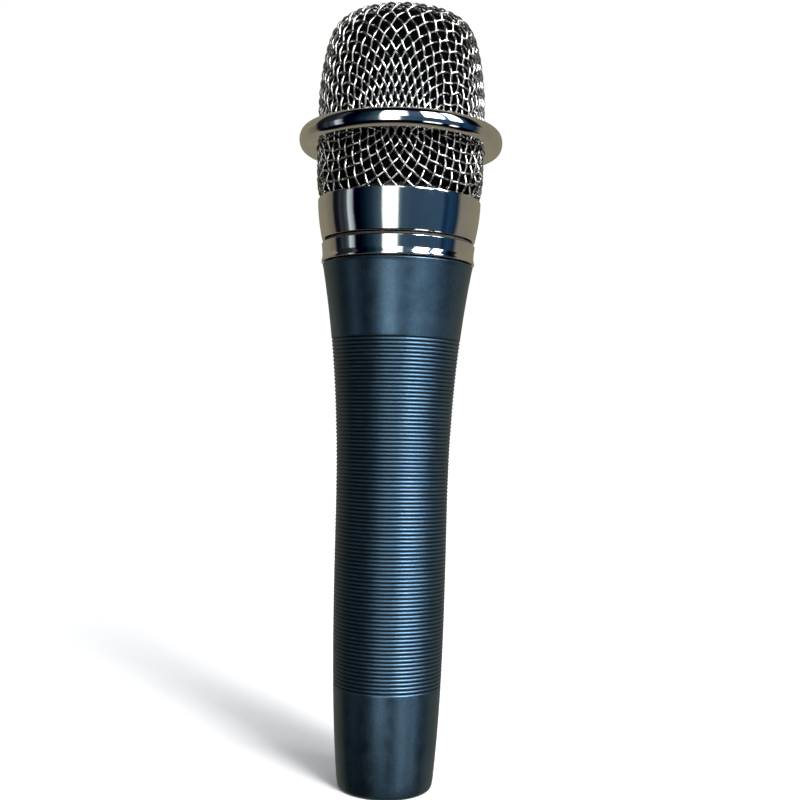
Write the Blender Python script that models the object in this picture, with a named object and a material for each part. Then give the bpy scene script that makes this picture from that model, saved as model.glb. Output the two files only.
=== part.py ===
"""Handheld dynamic vocal microphone, standing upright on its connector end.

All dimensions are in millimetres and are turned into metres when a mesh is made.
The long axis is +Z, the origin is the centre of the tail rim, and +Y is the connector's key side.
"""
import math

import bpy
import bmesh

MM = 0.001
GAP = 0.3                    # clearance between pieces that touch on the real object
ROUND_STEPS = 36             # facets round a large turned piece
INNER_STEPS = 24             # facets round a piece that sits inside another
SMALL_STEPS = 16             # facets round a small one
HOLE_STEPS = 12              # facets round a drilled hole
SHARP_ANGLE = 35.0           # edges turned further than this stay crisp, in degrees

# handle: a waist that tapers to the tail and flares to the head
HANDLE_TOP = 122.1
WAIST_RADIUS = 13.15
TAIL_TAPER = 2.02
TAIL_TAPER_END = 72.9
TAIL_POWER = 3.58
FLARE = 4.58
FLARE_START = 61.5
FLARE_POWER = 2.4
RIM_ROUNDING = 0.9
TOP_EDGE = 0.35              # small rounding at the top of the handle
SIDE_POINTS = 17             # heights at which the handle's side is drawn
HANDLE_BORE = 11.0
HANDLE_BORE_END = 97.0
HANDLE_MOUTH = 14.6
MOUTH_DEPTH = 10.1

# three-pin male connector in the tail
SOCKET_BORE = 8.1
SLEEVE_WALL = 0.6
SLEEVE_START = 0.8
SLEEVE_END = 20.6
TAIL_BORE = SOCKET_BORE + SLEEVE_WALL + GAP
TAIL_BORE_END = 21.5
TAIL_BORE_STEP = 2.5         # height of the cone between the tail bore and the handle bore
INSERT_FACE = 14.0
INSERT_BACK = 20.5
PIN_RADIUS = 1.2
PIN_CIRCLE = 4.15
PIN_TIP = 2.0
PIN_BACK = 23.5
PIN_ANGLES = {"pin_1": 30.0, "pin_2": 150.0, "pin_3": 270.0}
KEY_WIDTH = 2.3
KEY_DEPTH = 0.8
KEY_START = 5.0
LATCH_WIDTH = 4.5
LATCH_HEIGHT = 3.2
LATCH_MIDDLE = 4.6
LATCH_DEPTH = 3.0
TAG_LENGTH = 6.2
TAG_WIDTH = 3.6
TAG_THICKNESS = 0.4
TAG_CENTRE = 4.7
SCREW_RADIUS = 1.0
SCREW_HEIGHT = 17.3
SCREW_INNER_END = 5.0
SCREW_OUTER_END = 12.0
DRIVER_SLOT_LENGTH = 3.0
DRIVER_SLOT_DEPTH = 1.2
DRIVER_SLOT_WIDTH = 0.4

# threaded spigot that joins the handle and the grille
SPIGOT_RADIUS = 16.3
SPIGOT_SHANK = HANDLE_MOUTH - GAP
SPIGOT_BORE = 13.2
SPIGOT_BOTTOM = 112.5
SPIGOT_TOP = 131.0
SPIGOT_CHAMFER = 0.4
THREAD_BORE = SPIGOT_RADIUS + GAP

# chrome trim between handle and mesh
BAND_BOTTOM = HANDLE_TOP + GAP
BAND_TOP = 126.8
BAND_TOP_RADIUS = 18.1
BAND_NECK_RADIUS = 17.85
BAND_LIP_RADIUS = 18.05
BAND_NECK_TOP = 124.1
BAND_NECK_BOTTOM = 123.6
BAND_LIP_TOP = 123.0
GASKET_BOTTOM = 127.05
GASKET_TOP = 127.45
GASKET_RADIUS = 17.5
COLLAR_BOTTOM = 127.7
COLLAR_TOP = 137.1
COLLAR_TOP_RADIUS = 19.22
COLLAR_TAPER = 1.22
COLLAR_POWER = 1.8
COLLAR_SEAT = 136.4
COLLAR_LIP = 18.9

# grille: a wire dome, a wire skirt and the ring that joins them
MESH_RADIUS = 19.76
MESH_WALL = 0.8
MESH_SPRING = 161.16         # height where the wall starts to lean in
DOME_SHOULDER = 17.5         # rise from there to the top of the shoulder
DOME_CROWN = 3.0             # rise from the shoulder to the middle of the crown
DOME_POWER = 10.75           # how late the crown turns down into the shoulder
DOME_ROOT = 0.835            # how upright the wall is under the shoulder
DOME_STATIONS = (0.0, 0.2, 0.4, 0.6, 0.72, 0.82, 0.89, 0.94, 0.975, 1.0)   # shares of the radius
RING_HEIGHT = 151.3          # middle of the halo ring
RING_OUTER = 24.0
RING_INNER = MESH_RADIUS + GAP
RING_HALF_HEIGHT = 2.2
RING_CROWN = 1.3
SKIRT_BOTTOM = COLLAR_SEAT + GAP + 0.1
SKIRT_TUCK = 1.36
SKIRT_TUCK_START = 146.0
SKIRT_TUCK_POWER = 4
SKIRT_MIDDLE = 143.0

# foam windscreen liner inside the mesh
FOAM_INSET = 1.66            # from the outside of the mesh to the outside of the foam
FOAM_WALL = 2.4
FOAM_BOTTOM = 138.8

# capsule and its rubber suspension
CARRIER_FLANGE = 16.0
CARRIER_TUBE = SPIGOT_BORE - GAP
CARRIER_BORE = 11.7
CARRIER_BOTTOM = 120.0
CARRIER_FLOOR = 121.5
CARRIER_FLANGE_BOTTOM = SPIGOT_TOP + GAP
CARRIER_TOP = 132.5
CARRIER_WIRE_HOLE = 4.5
LOWER_RING_BORE = 7.0
CAPSULE_FLANGE_BOTTOM = 136.0
CAPSULE_FLANGE_TOP = 137.2
CAPSULE_FLANGE = 15.0
CAPSULE_RADIUS = 12.3
CAPSULE_BORE = 11.75
CAPSULE_TOP = 164.2
CHAMBER_RADIUS = 10.6
CHAMBER_WALL = 1.0
CHAMBER_BOTTOM = 125.0
CHAMBER_TOP = 145.9
BOARD_RADIUS = 6.0
BOARD_BOTTOM = 123.2
POT_RADIUS = 11.4
POT_WALL = 2.2
POT_BOTTOM = 146.5
POT_FLOOR = 148.5
POT_TOP = 156.0
MAGNET_RADIUS = 6.0
MAGNET_HEIGHT = 6.0
POLE_RADIUS = 6.3
POLE_THICKNESS = 3.0
PLATE_BORE = 7.5
PLATE_THICKNESS = 2.0
SEAT_BORE = 9.8
COIL_INNER = 6.7
COIL_OUTER = 7.1
COIL_BOTTOM = 155.2
DIAPHRAGM_HEIGHT = 161.6
DIAPHRAGM_RADIUS = 10.9
DIAPHRAGM_DOME = 6.6
DIAPHRAGM_RISE = 1.5
DIAPHRAGM_WALL = 0.3
FRONT_THICKNESS = 1.1
FRONT_CROWN = 1.2
FRONT_HOLE = 1.4
FRONT_HOLE_CIRCLE = 6.4
FRONT_HOLES = 6
LEAD_RADIUS = 0.6
LEAD_POINTS = 14
LEAD_BOW = 2.5               # how far a lead swings aside on its way up
LEAD_SPREAD = 2.0            # where it meets the terminal board, from the middle


def handle_radius(z):
    """Outer radius of the handle at height z."""
    taper = max(0.0, 1.0 - z / TAIL_TAPER_END)
    flare = max(0.0, (z - FLARE_START) / (HANDLE_TOP - FLARE_START))
    return WAIST_RADIUS - TAIL_TAPER * taper ** TAIL_POWER + FLARE * flare ** FLARE_POWER


def collar_radius(z):
    """Outer radius of the collar at height z: slightly convex, narrower at the bottom."""
    drop = (COLLAR_TOP - z) / (COLLAR_TOP - COLLAR_BOTTOM)
    return COLLAR_TOP_RADIUS - COLLAR_TAPER * drop ** COLLAR_POWER


def skirt_radius(z):
    """Outer radius of the mesh skirt, which tucks into the collar at its foot."""
    tuck = max(0.0, (SKIRT_TUCK_START - z) / (SKIRT_TUCK_START - SKIRT_BOTTOM))
    return MESH_RADIUS - SKIRT_TUCK * tuck ** SKIRT_TUCK_POWER


def spaced(start, end, count):
    """count heights from start to end, both included."""
    return [start + (end - start) * i / (count - 1) for i in range(count)]


def dome_height(share):
    """Height of the outside of the dome at a share of its radius."""
    shoulder = max(0.0, 1.0 - share ** DOME_POWER) ** DOME_ROOT
    return MESH_SPRING + DOME_CROWN * (1.0 - share ** 2) + DOME_SHOULDER * shoulder


def dome_outline(inset):
    """Points from the crown down to where the wall turns upright, set in from the outside of the mesh."""
    step = 0.001
    points = []
    for share in DOME_STATIONS:
        before = max(0.0, share - step)
        after = min(1.0, share + step)
        across = MESH_RADIUS * (after - before)
        drop = dome_height(before) - dome_height(after)
        length = math.hypot(across, drop)
        r = MESH_RADIUS * share - inset * drop / length
        points.append((r, dome_height(share) - inset * across / length))
    points[0] = (0.0, dome_height(0.0) - inset)
    points[-1] = (MESH_RADIUS - inset, MESH_SPRING)
    return points


def clear_scene():
    for item in list(bpy.data.objects):
        bpy.data.objects.remove(item, do_unlink=True)


def new_collection(name):
    collection = bpy.data.collections.new(name)
    bpy.context.scene.collection.children.link(collection)
    return collection


def finish(name, colour, roughness, metallic=0.0):
    """A Principled material."""
    material = bpy.data.materials.new(name)
    material.use_nodes = True
    shader = material.node_tree.nodes["Principled BSDF"]
    shader.inputs["Base Color"].default_value = (*colour, 1.0)
    shader.inputs["Roughness"].default_value = roughness
    shader.inputs["Metallic"].default_value = metallic
    return material


def place(item, collection, material=None, parent=None):
    """Put an object in one collection, give it a finish and parent it without moving it."""
    for owner in list(item.users_collection):
        owner.objects.unlink(item)
    collection.objects.link(item)
    if material is not None:
        item.data.materials.clear()
        item.data.materials.append(material)
    if parent is not None:
        item.parent = parent
        item.location -= parent.location
    return item


def smooth(mesh):
    """Shade the round sides smooth and keep the turned edges crisp."""
    mesh.shade_smooth()
    mesh.set_sharp_from_angle(angle=math.radians(SHARP_ANGLE))


def turned(name, outline, material, collection, parent=None, steps=ROUND_STEPS):
    """A body of revolution. The outline runs down its outer side; it is closed unless it ends on the axis."""
    base = min(z for _, z in outline)
    rows = []
    vertices = []
    for r, z in outline:
        count = steps if r > 0.0 else 1
        first = len(vertices)
        for i in range(count):
            angle = 2.0 * math.pi * i / steps
            vertices.append((r * math.cos(angle) * MM, r * math.sin(angle) * MM, (z - base) * MM))
        rows.append([first + i % count for i in range(steps + 1)])
    pairs = list(zip(rows, rows[1:]))
    if outline[0][0] > 0.0:
        pairs.append((rows[-1], rows[0]))
    faces = []
    for upper, lower in pairs:
        for i in range(steps):
            corners = [upper[i], lower[i], lower[i + 1], upper[i + 1]]
            faces.append(list(dict.fromkeys(corners)))
    mesh = bpy.data.meshes.new(name)
    mesh.from_pydata(vertices, [], faces)
    smooth(mesh)
    item = bpy.data.objects.new(name, mesh)
    item.location.z = base * MM
    return place(item, collection, material, parent)


def ring_outline(outer, inner, bottom, top):
    """Square-edged ring section, running down its outer side."""
    return [(outer, top), (outer, bottom), (inner, bottom), (inner, top)]


def disc_outline(radius, bottom, top):
    return [(0.0, top), (radius, top), (radius, bottom), (0.0, bottom)]


def bar(name, radius, centre, length, axis, collection, material=None, steps=SMALL_STEPS):
    """A round bar along Y or Z."""
    turn = (0.5 * math.pi, 0.0, 0.0) if axis == "Y" else (0.0, 0.0, 0.0)
    bpy.ops.mesh.primitive_cylinder_add(vertices=steps, radius=radius * MM, depth=length * MM,
                                        location=[c * MM for c in centre], rotation=turn)
    item = bpy.context.active_object
    item.name = name
    smooth(item.data)
    return place(item, collection, material)


def block(name, size, centre, collection, material=None):
    bpy.ops.mesh.primitive_cube_add(size=1.0, location=[c * MM for c in centre])
    item = bpy.context.active_object
    item.name = name
    for vertex in item.data.vertices:
        for axis in range(3):
            vertex.co[axis] *= size[axis] * MM
    return place(item, collection, material)


def combine(target, tool, operation="DIFFERENCE"):
    """Cut one object with another, or join them."""
    modifier = target.modifiers.new(tool.name, "BOOLEAN")
    modifier.operation = operation
    modifier.solver = "EXACT"
    modifier.object = tool
    tool.hide_render = True
    tool.display_type = "WIRE"


def pin_centre(name):
    angle = math.radians(PIN_ANGLES[name])
    return PIN_CIRCLE * math.cos(angle), PIN_CIRCLE * math.sin(angle)


def screw_hole(name, cutters):
    """Cutter for the retaining screw's radial hole."""
    start = SCREW_INNER_END - GAP
    end = WAIST_RADIUS + 1.0
    return bar(name, SCREW_RADIUS + GAP, (0.0, 0.5 * (start + end), SCREW_HEIGHT), end - start, "Y", cutters)


def make_handle(parts, cutters, paint):
    side = [(handle_radius(z), z) for z in spaced(HANDLE_TOP - TOP_EDGE, 5.0 * RIM_ROUNDING, SIDE_POINTS)]
    rim = []
    foot = handle_radius(0.0)
    for angle in spaced(0.0, 0.5 * math.pi, 4):
        rim.append((foot - RIM_ROUNDING * (1.0 - math.cos(angle)), RIM_ROUNDING * (1.0 - math.sin(angle))))
    outline = [(handle_radius(HANDLE_TOP) - TOP_EDGE, HANDLE_TOP)]
    outline += side + rim
    outline += [(TAIL_BORE, 0.0),
                (TAIL_BORE, TAIL_BORE_END),
                (HANDLE_BORE, TAIL_BORE_END + TAIL_BORE_STEP),
                (HANDLE_BORE, HANDLE_BORE_END),
                (HANDLE_MOUTH, HANDLE_TOP - MOUTH_DEPTH),
                (HANDLE_MOUTH, HANDLE_TOP)]
    handle = turned("handle", outline, paint, parts)
    combine(handle, screw_hole("handle_screw_hole", cutters))
    return handle


def make_connector(parts, cutters, nickel, plastic, gold, steel):
    """Metal sleeve with its key and latch window, insulating insert, pins, earth tag and grub screw."""
    sleeve_outer = SOCKET_BORE + SLEEVE_WALL
    sleeve = turned("connector_sleeve", ring_outline(sleeve_outer, SOCKET_BORE, SLEEVE_START, SLEEVE_END),
                    nickel, parts, steps=INNER_STEPS)
    key_end = INSERT_FACE - GAP
    key_root = 0.5 * SLEEVE_WALL
    key = block("key_rib", (KEY_WIDTH, KEY_DEPTH + key_root, key_end - KEY_START),
                (0.0, SOCKET_BORE - 0.5 * KEY_DEPTH + 0.5 * key_root, 0.5 * (KEY_START + key_end)), cutters)
    combine(sleeve, key, "UNION")
    latch = block("latch_window", (LATCH_WIDTH, LATCH_DEPTH, LATCH_HEIGHT), (0.0, -SOCKET_BORE, LATCH_MIDDLE),
                  cutters)
    combine(sleeve, latch)
    combine(sleeve, screw_hole("sleeve_screw_hole", cutters))

    insert = turned("connector_insert", disc_outline(SOCKET_BORE - GAP, INSERT_FACE, INSERT_BACK),
                    plastic, parts, steps=INNER_STEPS)
    combine(insert, screw_hole("insert_screw_hole", cutters))
    middle = 0.5 * (INSERT_FACE + INSERT_BACK)
    depth = 1.5 * (INSERT_BACK - INSERT_FACE)
    tip = [(0.0, PIN_BACK),
           (PIN_RADIUS, PIN_BACK),
           (PIN_RADIUS, PIN_TIP + 0.7 * PIN_RADIUS),
           (0.75 * PIN_RADIUS, PIN_TIP + 0.2 * PIN_RADIUS),
           (0.4 * PIN_RADIUS, PIN_TIP),
           (0.0, PIN_TIP)]
    for name in PIN_ANGLES:
        x, y = pin_centre(name)
        combine(insert, bar(name + "_hole", PIN_RADIUS + GAP, (x, y, middle), depth, "Z", cutters))
        pin = turned(name, tip, gold, parts, steps=SMALL_STEPS)
        pin.location.x = x * MM
        pin.location.y = y * MM

    x, y = pin_centre("pin_1")
    bottom = INSERT_BACK + GAP
    tag = block("earth_tag", (TAG_LENGTH, TAG_WIDTH, TAG_THICKNESS),
                (TAG_CENTRE, y, bottom + 0.5 * TAG_THICKNESS), parts, steel)
    combine(tag, bar("earth_tag_hole", PIN_RADIUS + GAP, (x, y, bottom), depth, "Z", cutters))

    length = SCREW_OUTER_END - SCREW_INNER_END
    centre = (0.0, SCREW_INNER_END + 0.5 * length, SCREW_HEIGHT)
    screw = bar("retaining_screw", SCREW_RADIUS, centre, length, "Y", parts, steel)
    slot = block("driver_slot", (DRIVER_SLOT_LENGTH, DRIVER_SLOT_DEPTH, DRIVER_SLOT_WIDTH),
                 (0.0, SCREW_OUTER_END, SCREW_HEIGHT), cutters)
    combine(screw, slot)


def make_spigot(parts, brass):
    outline = [(SPIGOT_RADIUS - SPIGOT_CHAMFER, SPIGOT_TOP),
               (SPIGOT_RADIUS, SPIGOT_TOP - SPIGOT_CHAMFER),
               (SPIGOT_RADIUS, BAND_BOTTOM),
               (SPIGOT_SHANK, BAND_BOTTOM),
               (SPIGOT_SHANK, SPIGOT_BOTTOM),
               (SPIGOT_BORE, SPIGOT_BOTTOM),
               (SPIGOT_BORE, SPIGOT_TOP)]
    turned("threaded_spigot", outline, brass, parts)


def make_trim(parts, chrome, rubber):
    band = [(BAND_TOP_RADIUS, BAND_TOP),
            (BAND_NECK_RADIUS, BAND_NECK_TOP),
            (BAND_NECK_RADIUS, BAND_NECK_BOTTOM),
            (BAND_LIP_RADIUS, BAND_LIP_TOP),
            (BAND_LIP_RADIUS, BAND_BOTTOM),
            (THREAD_BORE, BAND_BOTTOM),
            (THREAD_BORE, BAND_TOP)]
    turned("lower_band", band, chrome, parts)
    gasket = ring_outline(GASKET_RADIUS, THREAD_BORE, GASKET_BOTTOM, GASKET_TOP)
    turned("collar_gasket", gasket, rubber, parts)


def make_grille(parts, chrome, wire, foam):
    """Everything that unscrews with the head. Its empty is on the thread's axis."""
    axis = bpy.data.objects.new("grille_axis", None)
    axis.location.z = COLLAR_BOTTOM * MM
    parts.objects.link(axis)

    collar = [(collar_radius(z), z) for z in spaced(COLLAR_TOP, COLLAR_BOTTOM, 7)]
    collar += [(THREAD_BORE, COLLAR_BOTTOM), (THREAD_BORE, COLLAR_SEAT),
               (COLLAR_LIP, COLLAR_SEAT), (COLLAR_LIP, COLLAR_TOP)]
    turned("upper_collar", collar, chrome, parts, axis)

    joint = 0.5 * GAP
    outer = dome_outline(0.0) + [(MESH_RADIUS, RING_HEIGHT + joint)]
    inner = dome_outline(MESH_WALL) + [(MESH_RADIUS - MESH_WALL, RING_HEIGHT + joint)]
    turned("upper_mesh", outer + inner[::-1], wire, parts, axis)

    heights = spaced(RING_HEIGHT - joint, SKIRT_TUCK_START, 2) + spaced(SKIRT_MIDDLE, SKIRT_BOTTOM, 5)
    outer = [(skirt_radius(z), z) for z in heights]
    inner = [(skirt_radius(z) - MESH_WALL, z) for z in heights]
    turned("lower_mesh", outer + inner[::-1], wire, parts, axis)

    ring = []
    for angle in spaced(0.5 * math.pi, -0.5 * math.pi, 9):
        ring.append((RING_OUTER - RING_CROWN + RING_CROWN * math.cos(angle),
                     RING_HEIGHT + RING_HALF_HEIGHT * math.sin(angle)))
    ring += [(RING_INNER, RING_HEIGHT - RING_HALF_HEIGHT), (RING_INNER, RING_HEIGHT + RING_HALF_HEIGHT)]
    turned("halo_ring", ring, chrome, parts, axis)

    outer = dome_outline(FOAM_INSET) + [(MESH_RADIUS - FOAM_INSET, FOAM_BOTTOM)]
    inner = dome_outline(FOAM_INSET + FOAM_WALL) + [(MESH_RADIUS - FOAM_INSET - FOAM_WALL, FOAM_BOTTOM)]
    turned("foam_liner", outer + inner[::-1], foam, parts, axis, steps=INNER_STEPS)


def make_suspension(parts, plastic, rubber):
    """Cup in the spigot and the two rubber rings that the capsule floats on."""
    cup = [(CARRIER_FLANGE, CARRIER_TOP),
           (CARRIER_FLANGE, CARRIER_FLANGE_BOTTOM),
           (CARRIER_TUBE, CARRIER_FLANGE_BOTTOM),
           (CARRIER_TUBE, CARRIER_BOTTOM),
           (CARRIER_WIRE_HOLE, CARRIER_BOTTOM),
           (CARRIER_WIRE_HOLE, CARRIER_FLOOR),
           (CARRIER_BORE, CARRIER_FLOOR),
           (CARRIER_BORE, CARRIER_TOP)]
    turned("capsule_carrier", cup, plastic, parts, steps=INNER_STEPS)
    upper = ring_outline(CAPSULE_FLANGE, CARRIER_TUBE, CARRIER_TOP + GAP, CAPSULE_FLANGE_BOTTOM - GAP)
    turned("upper_shock_ring", upper, rubber, parts, steps=INNER_STEPS)
    lower = ring_outline(CARRIER_BORE - GAP, LOWER_RING_BORE, CARRIER_FLOOR + GAP, CHAMBER_BOTTOM - GAP)
    turned("lower_shock_ring", lower, rubber, parts, steps=INNER_STEPS)


def make_capsule(parts, cutters, aluminium, plastic, steel, magnet_grey, board_green):
    """Housing, magnet system and covers of the moving-coil capsule. Its empty is on the float axis."""
    axis = bpy.data.objects.new("capsule_axis", None)
    axis.location.z = CAPSULE_FLANGE_BOTTOM * MM
    parts.objects.link(axis)

    housing = [(CAPSULE_RADIUS, CAPSULE_TOP),
               (CAPSULE_RADIUS, CAPSULE_FLANGE_TOP),
               (CAPSULE_FLANGE, CAPSULE_FLANGE_TOP),
               (CAPSULE_FLANGE, CAPSULE_FLANGE_BOTTOM),
               (CAPSULE_BORE, CAPSULE_FLANGE_BOTTOM),
               (CAPSULE_BORE, CAPSULE_TOP)]
    turned("capsule_housing", housing, aluminium, parts, axis, steps=INNER_STEPS)

    inner = CHAMBER_RADIUS - CHAMBER_WALL
    chamber = [(0.0, CHAMBER_BOTTOM + CHAMBER_WALL),
               (inner, CHAMBER_BOTTOM + CHAMBER_WALL),
               (inner, CHAMBER_TOP),
               (CHAMBER_RADIUS, CHAMBER_TOP),
               (CHAMBER_RADIUS, CHAMBER_BOTTOM),
               (0.0, CHAMBER_BOTTOM)]
    turned("rear_chamber", chamber, plastic, parts, axis, steps=INNER_STEPS)
    turned("terminal_board", disc_outline(BOARD_RADIUS, BOARD_BOTTOM, CHAMBER_BOTTOM - GAP),
           board_green, parts, axis, steps=SMALL_STEPS)

    pot_bore = POT_RADIUS - POT_WALL
    pot = [(0.0, POT_FLOOR), (pot_bore, POT_FLOOR), (pot_bore, POT_TOP),
           (POT_RADIUS, POT_TOP), (POT_RADIUS, POT_BOTTOM), (0.0, POT_BOTTOM)]
    turned("magnet_pot", pot, steel, parts, axis, steps=INNER_STEPS)
    magnet_top = POT_FLOOR + GAP + MAGNET_HEIGHT
    turned("magnet", disc_outline(MAGNET_RADIUS, POT_FLOOR + GAP, magnet_top), magnet_grey, parts, axis,
           steps=SMALL_STEPS)
    turned("pole_piece", disc_outline(POLE_RADIUS, magnet_top + GAP, magnet_top + GAP + POLE_THICKNESS),
           steel, parts, axis, steps=SMALL_STEPS)
    plate_top = POT_TOP + GAP + PLATE_THICKNESS
    turned("top_plate", ring_outline(POT_RADIUS, PLATE_BORE, POT_TOP + GAP, plate_top), steel, parts, axis,
           steps=INNER_STEPS)
    seat = ring_outline(POT_RADIUS, SEAT_BORE, plate_top + GAP, DIAPHRAGM_HEIGHT - 2.0 * GAP)
    turned("diaphragm_seat", seat, plastic, parts, axis, steps=INNER_STEPS)

    front_bottom = CAPSULE_TOP + GAP
    front = [(0.0, front_bottom + FRONT_THICKNESS + FRONT_CROWN),
             (0.5 * CAPSULE_RADIUS, front_bottom + FRONT_THICKNESS + 0.75 * FRONT_CROWN),
             (CAPSULE_RADIUS, front_bottom + FRONT_THICKNESS),
             (CAPSULE_RADIUS, front_bottom),
             (0.0, front_bottom)]
    plate = turned("front_resonator", front, plastic, parts, axis, steps=INNER_STEPS)
    middle = front_bottom + FRONT_THICKNESS
    depth = 4.0 * (FRONT_THICKNESS + FRONT_CROWN)
    holes = [(0.0, 0.0)]
    for i in range(FRONT_HOLES):
        angle = 2.0 * math.pi * i / FRONT_HOLES
        holes.append((FRONT_HOLE_CIRCLE * math.cos(angle), FRONT_HOLE_CIRCLE * math.sin(angle)))
    for i, (x, y) in enumerate(holes):
        name = "front_hole_%d" % i
        combine(plate, bar(name, FRONT_HOLE, (x, y, middle), depth, "Z", cutters, steps=HOLE_STEPS))
    return axis


def make_diaphragm(parts, parent, film, copper):
    top = DIAPHRAGM_HEIGHT + DIAPHRAGM_WALL
    outline = []
    for r in spaced(0.0, DIAPHRAGM_DOME, 5):
        outline.append((r, top + DIAPHRAGM_RISE * (1.0 - (r / DIAPHRAGM_DOME) ** 2)))
    outline += [(DIAPHRAGM_RADIUS, top), (DIAPHRAGM_RADIUS, DIAPHRAGM_HEIGHT)]
    outline += [(r, z - DIAPHRAGM_WALL) for r, z in outline[4::-1]]
    turned("diaphragm", outline, film, parts, parent, steps=SMALL_STEPS)
    turned("voice_coil", ring_outline(COIL_OUTER, COIL_INNER, COIL_BOTTOM, DIAPHRAGM_HEIGHT - GAP),
           copper, parts, parent, steps=SMALL_STEPS)


def make_lead(name, start, end, parts, material):
    """A thin insulated wire that rises through the handle with some slack."""
    curve = bpy.data.curves.new(name, "CURVE")
    curve.dimensions = "3D"
    curve.bevel_depth = LEAD_RADIUS * MM
    curve.bevel_resolution = 2
    curve.use_fill_caps = True
    spline = curve.splines.new("POLY")
    spline.points.add(LEAD_POINTS - 1)
    for i, point in enumerate(spline.points):
        t = i / (LEAD_POINTS - 1)
        ease = t * t * (3.0 - 2.0 * t)
        swing = LEAD_BOW * math.sin(2.0 * math.pi * t) * math.sin(math.pi * t)
        x = start[0] + (end[0] - start[0]) * ease + swing
        y = start[1] + (end[1] - start[1]) * ease
        z = start[2] + (end[2] - start[2]) * t
        point.co = (x * MM, y * MM, z * MM, 1.0)
    place(bpy.data.objects.new(name, curve), parts, material)


def make_leads(parts, red, white):
    bottom = PIN_BACK + GAP
    top = BOARD_BOTTOM - GAP
    x, y = pin_centre("pin_2")
    make_lead("lead_hot", (x, y, bottom), (-LEAD_SPREAD, 0.0, top), parts, red)
    x, y = pin_centre("pin_3")
    make_lead("lead_cold", (x, y, bottom), (LEAD_SPREAD, 0.0, top), parts, white)


def main():
    clear_scene()
    parts = new_collection("dynamic_microphone")
    cutters = new_collection("cutters")

    paint = finish("handle_paint", (0.055, 0.085, 0.115), 0.38, 0.6)
    chrome = finish("chrome", (0.78, 0.78, 0.78), 0.06, 1.0)
    wire = finish("grille_wire", (0.70, 0.70, 0.70), 0.22, 1.0)
    foam = finish("foam", (0.012, 0.012, 0.013), 0.95)
    rubber = finish("rubber", (0.02, 0.02, 0.02), 0.7)
    plastic = finish("black_plastic", (0.025, 0.025, 0.027), 0.45)
    nickel = finish("nickel", (0.66, 0.64, 0.60), 0.25, 1.0)
    gold = finish("pin_gold", (0.83, 0.62, 0.28), 0.22, 1.0)
    steel = finish("steel", (0.50, 0.50, 0.51), 0.35, 1.0)
    brass = finish("spigot_metal", (0.55, 0.47, 0.33), 0.35, 1.0)
    aluminium = finish("capsule_aluminium", (0.62, 0.62, 0.63), 0.4, 1.0)
    magnet_grey = finish("magnet_grey", (0.30, 0.30, 0.31), 0.5, 0.8)
    board_green = finish("board_green", (0.05, 0.22, 0.10), 0.5)
    film = finish("diaphragm_film", (0.75, 0.74, 0.70), 0.2)
    copper = finish("coil_copper", (0.75, 0.36, 0.18), 0.35, 1.0)
    red = finish("lead_red", (0.55, 0.03, 0.03), 0.5)
    white = finish("lead_white", (0.75, 0.75, 0.73), 0.5)

    make_handle(parts, cutters, paint)
    make_connector(parts, cutters, nickel, plastic, gold, steel)
    make_spigot(parts, brass)
    make_trim(parts, chrome, rubber)
    make_grille(parts, chrome, wire, foam)
    make_suspension(parts, plastic, rubber)
    capsule_axis = make_capsule(parts, cutters, aluminium, plastic, steel, magnet_grey, board_green)
    make_diaphragm(parts, capsule_axis, film, copper)
    make_leads(parts, red, white)


main()
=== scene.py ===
"""Looks of a handheld dynamic microphone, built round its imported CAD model.

Outlines are in millimetres and become metres when a mesh is made. The long axis is +Z, the tail rim
is at zero, and the camera stands on the -Y side. Azimuths are measured from -Y, positive to the right.
"""

import math

import bpy
import numpy as np
from mathutils import Matrix, Vector


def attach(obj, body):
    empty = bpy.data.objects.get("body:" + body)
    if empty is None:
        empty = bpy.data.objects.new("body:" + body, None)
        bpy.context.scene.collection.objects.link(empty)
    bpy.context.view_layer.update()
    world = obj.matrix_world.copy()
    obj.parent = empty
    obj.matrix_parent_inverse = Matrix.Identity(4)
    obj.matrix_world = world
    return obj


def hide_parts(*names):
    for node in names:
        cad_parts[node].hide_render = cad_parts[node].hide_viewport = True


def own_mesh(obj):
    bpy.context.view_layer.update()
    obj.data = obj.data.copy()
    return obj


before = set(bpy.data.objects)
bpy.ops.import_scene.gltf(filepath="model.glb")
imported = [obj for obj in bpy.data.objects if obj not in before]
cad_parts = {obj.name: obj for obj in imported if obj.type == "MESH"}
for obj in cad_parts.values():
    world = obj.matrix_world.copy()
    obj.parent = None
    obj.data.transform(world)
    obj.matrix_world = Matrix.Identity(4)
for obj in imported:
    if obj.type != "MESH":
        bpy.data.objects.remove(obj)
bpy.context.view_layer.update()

MM = 0.001
TURN = 2.0 * math.pi
SCENE = bpy.context.scene


# ---------------------------------------------------------------- camera

CAMERA_DISTANCE = 252.15
CAMERA_HEIGHT = 86.06
CAMERA_TILT = 1.003          # degrees above level
CAMERA_PAN = 0.311           # degrees to the right
CAMERA_ROLL = 1.49           # degrees; the microphone leans to the right
SENSOR = 36.0
FOCAL_LENGTH = 48.015


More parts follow.
